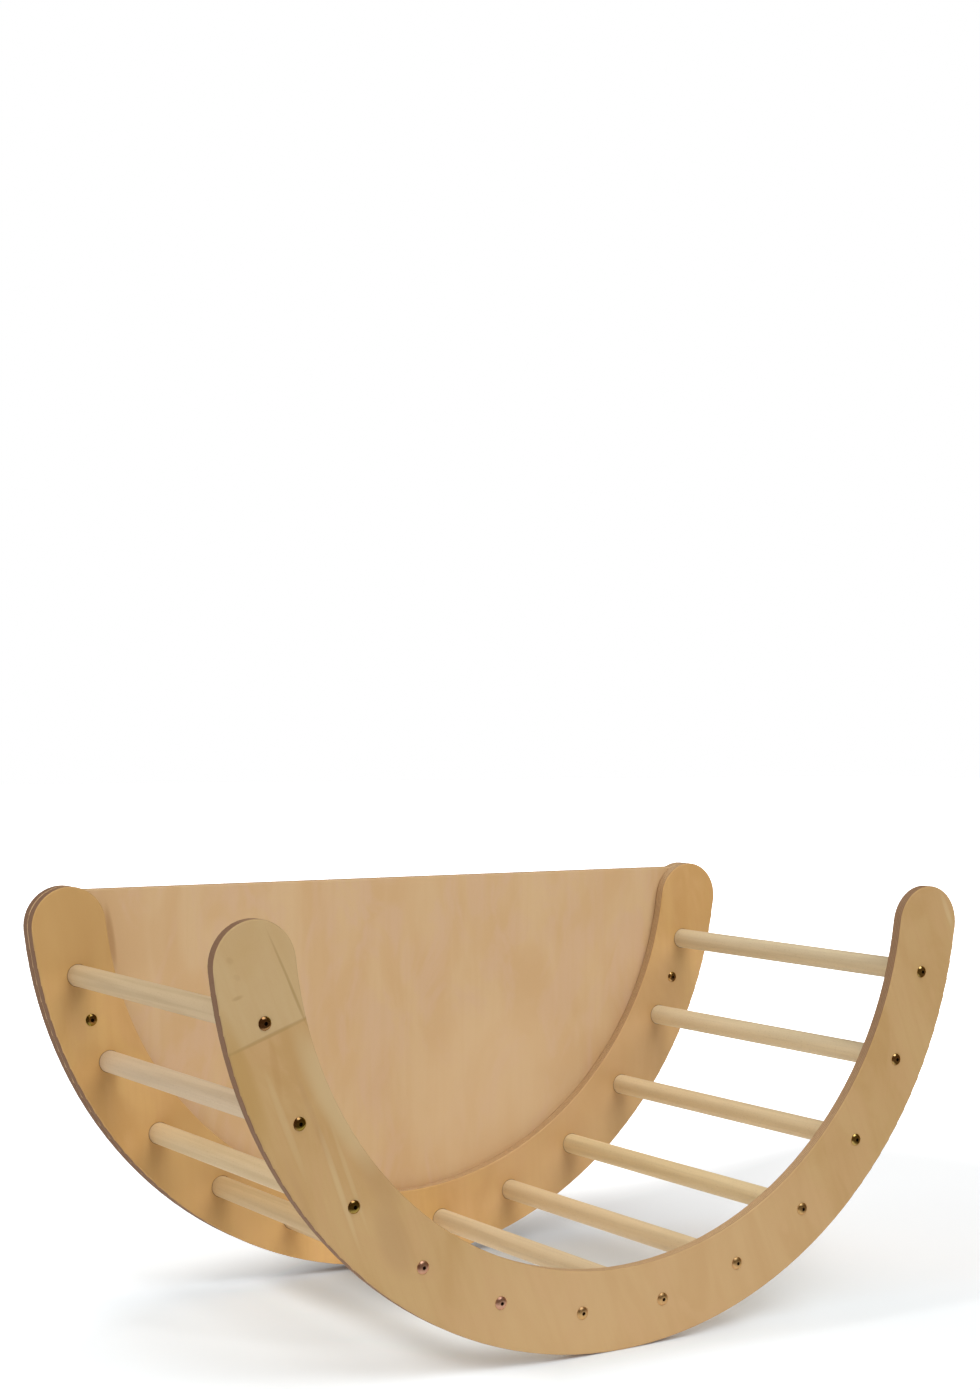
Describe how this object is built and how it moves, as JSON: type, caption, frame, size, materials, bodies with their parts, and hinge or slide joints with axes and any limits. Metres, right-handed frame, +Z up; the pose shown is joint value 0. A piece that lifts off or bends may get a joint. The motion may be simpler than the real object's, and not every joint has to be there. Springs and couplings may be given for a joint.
{
  "type": "climbing arch",
  "caption": "Half-round wooden climbing arch used as a rocker: two curved plywood sides joined by round rungs, with a half-moon panel closing one side.",
  "frame": {"origin": "on the floor, under the centre of the bounding box", "axes": "+X along the arch's length; +Y from the open front side to the panel; +Z up, with the tips up and the curved backs on the floor"},
  "size_m": [1.0934, 0.539, 0.543],
  "materials": {
    "side_plywood": "clear satin lacquer on birch plywood",
    "panel_plywood": "clear satin lacquer on birch plywood",
    "rung_wood": "smooth turned beech, clear satin lacquer",
    "bolt_metal": "yellow-bronze plated steel, glossy",
    "insert_metal": "zinc-plated steel"
  },
  "bodies": {
    "root": {"front_arch": "side_plywood", "rear_arch": "side_plywood", "back_panel": "panel_plywood", "rung_01": "rung_wood", "rung_02": "rung_wood", "rung_03": "rung_wood", "rung_04": "rung_wood", "rung_05": "rung_wood", "rung_06": "rung_wood", "rung_07": "rung_wood", "rung_08": "rung_wood", "rung_09": "rung_wood", "rung_10": "rung_wood", "rung_11": "rung_wood", "rung_12": "rung_wood", "front_rung_bolts": "bolt_metal", "rear_rung_bolts": "bolt_metal", "front_rung_inserts": "insert_metal", "rear_rung_inserts": "insert_metal", "panel_bolts": "bolt_metal", "panel_sleeve_nuts": "bolt_metal"}
  },
  "joints": []
}
